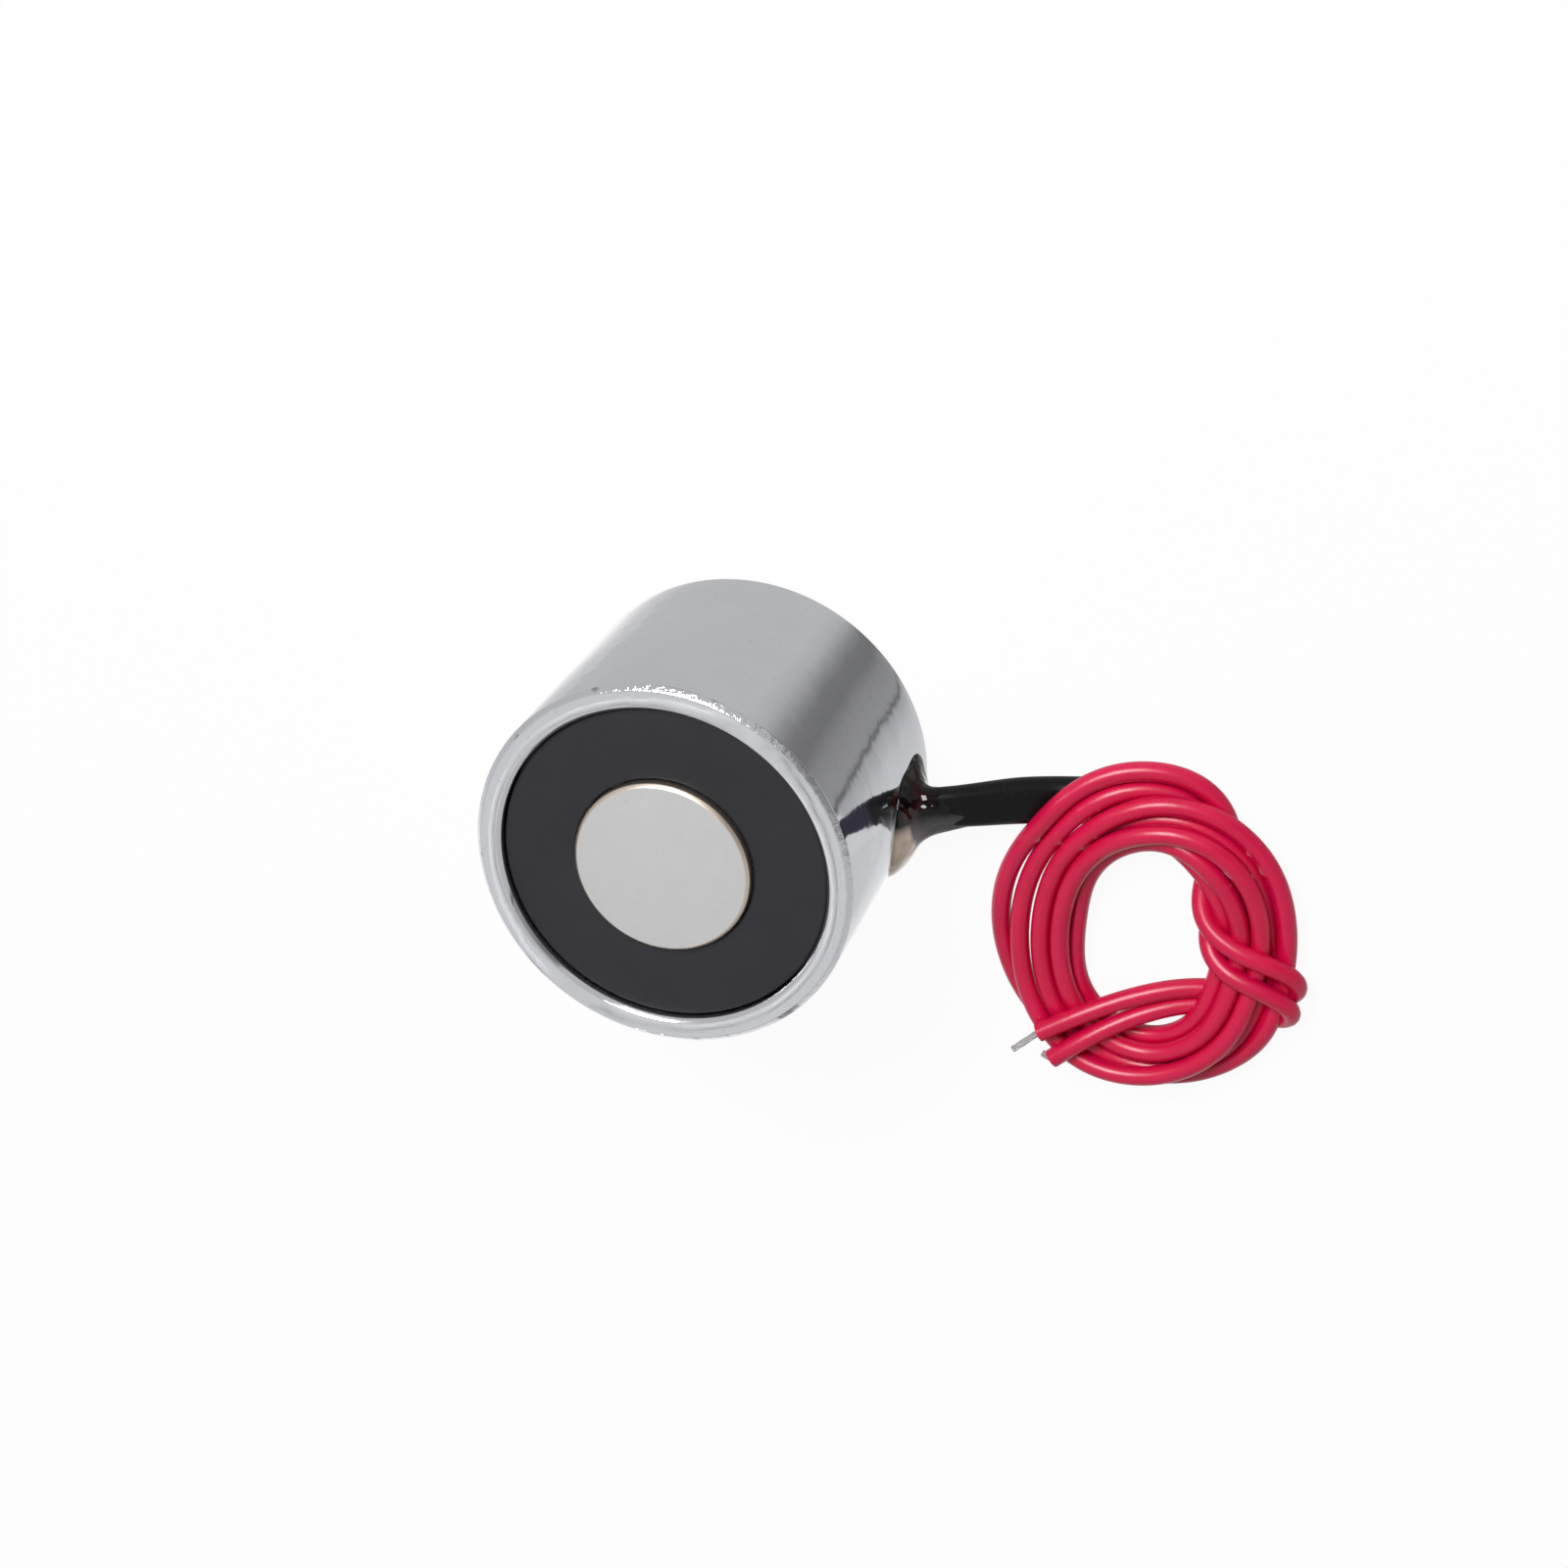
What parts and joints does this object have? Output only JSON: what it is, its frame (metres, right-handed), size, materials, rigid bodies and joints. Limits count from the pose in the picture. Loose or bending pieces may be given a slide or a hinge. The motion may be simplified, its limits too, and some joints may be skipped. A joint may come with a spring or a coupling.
{
  "type": "holding electromagnet",
  "caption": "Round pot holding electromagnet: plated steel cup and pole round a potted winding, tapped mounting hole in the back, sleeved leads tied in a ring at the side.",
  "frame": {"origin": "centre of the mounting face, on the magnet's axis", "axes": "+Z along the magnet's axis towards the pole face; +X towards the side where the leads leave"},
  "size_m": [0.0614, 0.0368, 0.022],
  "materials": {
    "plated_steel": "bright plated, turned",
    "ground_steel": "ground flat, thin plating",
    "black_ring": "matt",
    "bobbin_plastic": "moulded",
    "copper_wire": "enamelled copper",
    "amber_tape": "polyester tape",
    "resin": "cast, glossy, dark brown",
    "black_sleeve": "shrunk on, satin",
    "red_insulation": "soft, satin",
    "tinned_copper": "tinned strands"
  },
  "bodies": {
    "root": {"shell": "plated_steel", "core": "ground_steel", "face_ring": "black_ring", "bobbin": "bobbin_plastic", "winding": "copper_wire", "winding_tape": "amber_tape", "splice_a": "black_sleeve", "splice_b": "black_sleeve", "potting_resin": "resin", "exit_seal": "resin", "lead_sleeve": "black_sleeve", "lead_a": "red_insulation", "lead_b": "red_insulation", "lead_coil": "red_insulation", "tail_a": "red_insulation", "tail_b": "red_insulation", "tip_a": "tinned_copper", "tip_b": "tinned_copper"}
  },
  "joints": []
}
